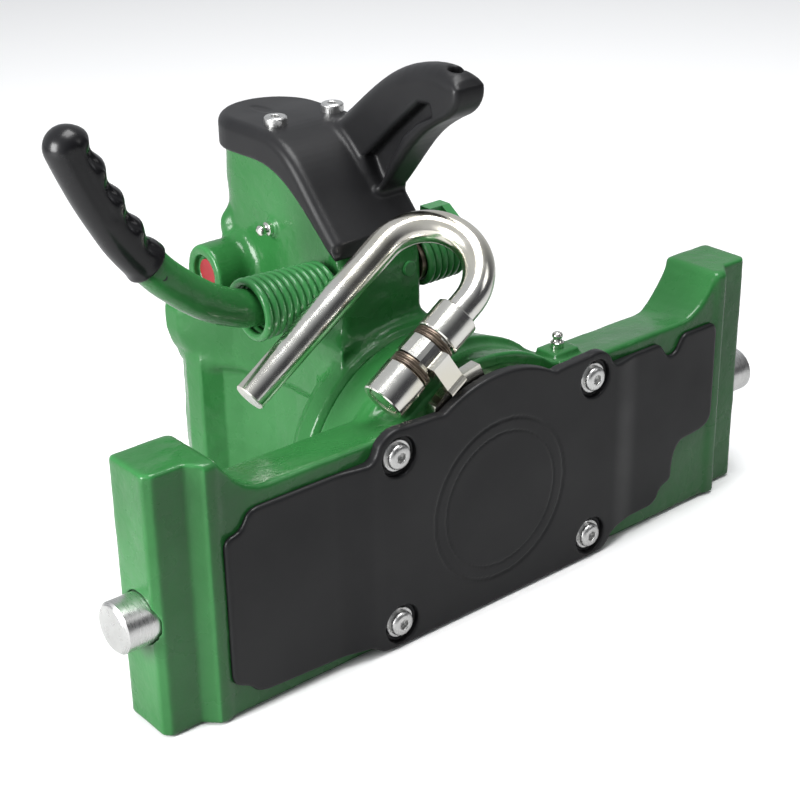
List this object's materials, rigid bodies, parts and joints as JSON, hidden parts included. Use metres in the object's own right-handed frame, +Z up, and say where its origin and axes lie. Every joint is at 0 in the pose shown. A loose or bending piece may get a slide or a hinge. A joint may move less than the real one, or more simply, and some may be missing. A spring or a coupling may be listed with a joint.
{
  "type": "automatic trailer coupling",
  "caption": "Automatic clevis trailer coupling on a height-adjustable slide plate, with locking pins, folding crank handle, hand lever and a remote-release arm.",
  "frame": {"origin": "mid-width of the slide plate, in the front plane of the guide bars, at the underside", "axes": "+X across the plate to the right seen from the tractor, +Y rearward towards the trailer, +Z up along the guide bars"},
  "size_m": [0.54, 0.2576, 0.3478],
  "materials": {
    "cast_green": "glossy enamel over a cast surface",
    "moulded_black": "satin moulded plastic",
    "grip_black": "glossy dipped PVC",
    "zinc": "bright zinc plate with a warm tint",
    "steel": "bright machined steel",
    "spring_steel": "oiled dark spring steel",
    "bronze": "plain bronze",
    "signal_red": "gloss signal red"
  },
  "bodies": {
    "carrier": {"slide_plate": "cast_green", "front_cover": "moulded_black", "cover_screw_lower_left": "steel", "cover_screw_upper_left": "steel", "cover_screw_lower_right": "steel", "cover_screw_upper_right": "steel", "cover_washer_lower_left": "steel", "cover_washer_upper_left": "steel", "cover_washer_lower_right": "steel", "cover_washer_upper_right": "steel", "neck_bush": "bronze", "plate_nipple": "zinc"},
    "head": {"head_housing": "cast_green", "thrust_washer": "steel", "friction_springs": "spring_steel", "neck_nut": "steel", "hood": "moulded_black", "hood_screw_left": "steel", "hood_screw_right": "steel", "upper_pin_bush": "bronze", "lower_pin_bush": "bronze", "tower_nipple": "zinc"},
    "tow_pin": {"coupling_pin": "steel"},
    "indicator": {"indicator_pin": "signal_red"},
    "hand_lever": {"lever_shaft": "steel", "lever_tube": "cast_green", "lever_grip": "grip_black", "lift_fork": "steel", "left_return_spring": "cast_green", "right_return_spring": "cast_green", "pull_crank": "cast_green", "shaft_cap": "moulded_black"},
    "height_adjuster": {"height_disc": "zinc", "hinge_hub": "zinc"},
    "fold_handle": {"handle_rod": "zinc", "left_sleeve": "zinc", "right_sleeve": "zinc", "left_torsion_spring": "spring_steel", "right_torsion_spring": "spring_steel"},
    "left_lock": {"left_locking_pin": "steel", "left_pin_stud": "steel"},
    "right_lock": {"right_locking_pin": "steel", "right_pin_stud": "steel"}
  },
  "joints": [
    {"name": "head_roll", "type": "hinge", "parent": "carrier", "child": "head", "pos_m": [0, 0.05, 0.076], "axis": [0, 1, 0], "range_deg": [-62, 57]},
    {"name": "lever_swing", "type": "hinge", "parent": "head", "child": "hand_lever", "pos_m": [0, 0.1, 0.2016], "axis": [1, 0, 0], "range_deg": [0, 65]},
    {"name": "tow_pin_lift", "type": "slide", "parent": "head", "child": "tow_pin", "axis": [0, 0, 1], "range_m": [0, 0.09]},
    {"name": "indicator_slide", "type": "slide", "parent": "head", "child": "indicator", "axis": [-1, 0, 0], "range_m": [0, 0.008]},
    {"name": "disc_turn", "type": "hinge", "parent": "carrier", "child": "height_adjuster", "pos_m": [0, 0, 0.076], "axis": [0, 1, 0], "range_deg": [0, 40]},
    {"name": "handle_fold", "type": "hinge", "parent": "height_adjuster", "child": "fold_handle", "pos_m": [-0.078, 0.008, 0.1609], "axis": [0.8324, 0, 0.5541], "range_deg": [0, 120]},
    {"name": "left_pin_slide", "type": "slide", "parent": "carrier", "child": "left_lock", "axis": [1, 0, 0], "range_m": [0, 0.02]},
    {"name": "right_pin_slide", "type": "slide", "parent": "carrier", "child": "right_lock", "axis": [-1, 0, 0], "range_m": [0, 0.02]}
  ],
  "couplings": [
    {"joint": "tow_pin_lift", "follows": "lever_swing", "m_per_rad": 0.0793},
    {"joint": "indicator_slide", "follows": "lever_swing", "m_per_rad": 0.00705},
    {"joint": "left_pin_slide", "follows": "disc_turn", "m_per_rad": 0.02864},
    {"joint": "right_pin_slide", "follows": "disc_turn", "m_per_rad": 0.02864}
  ]
}
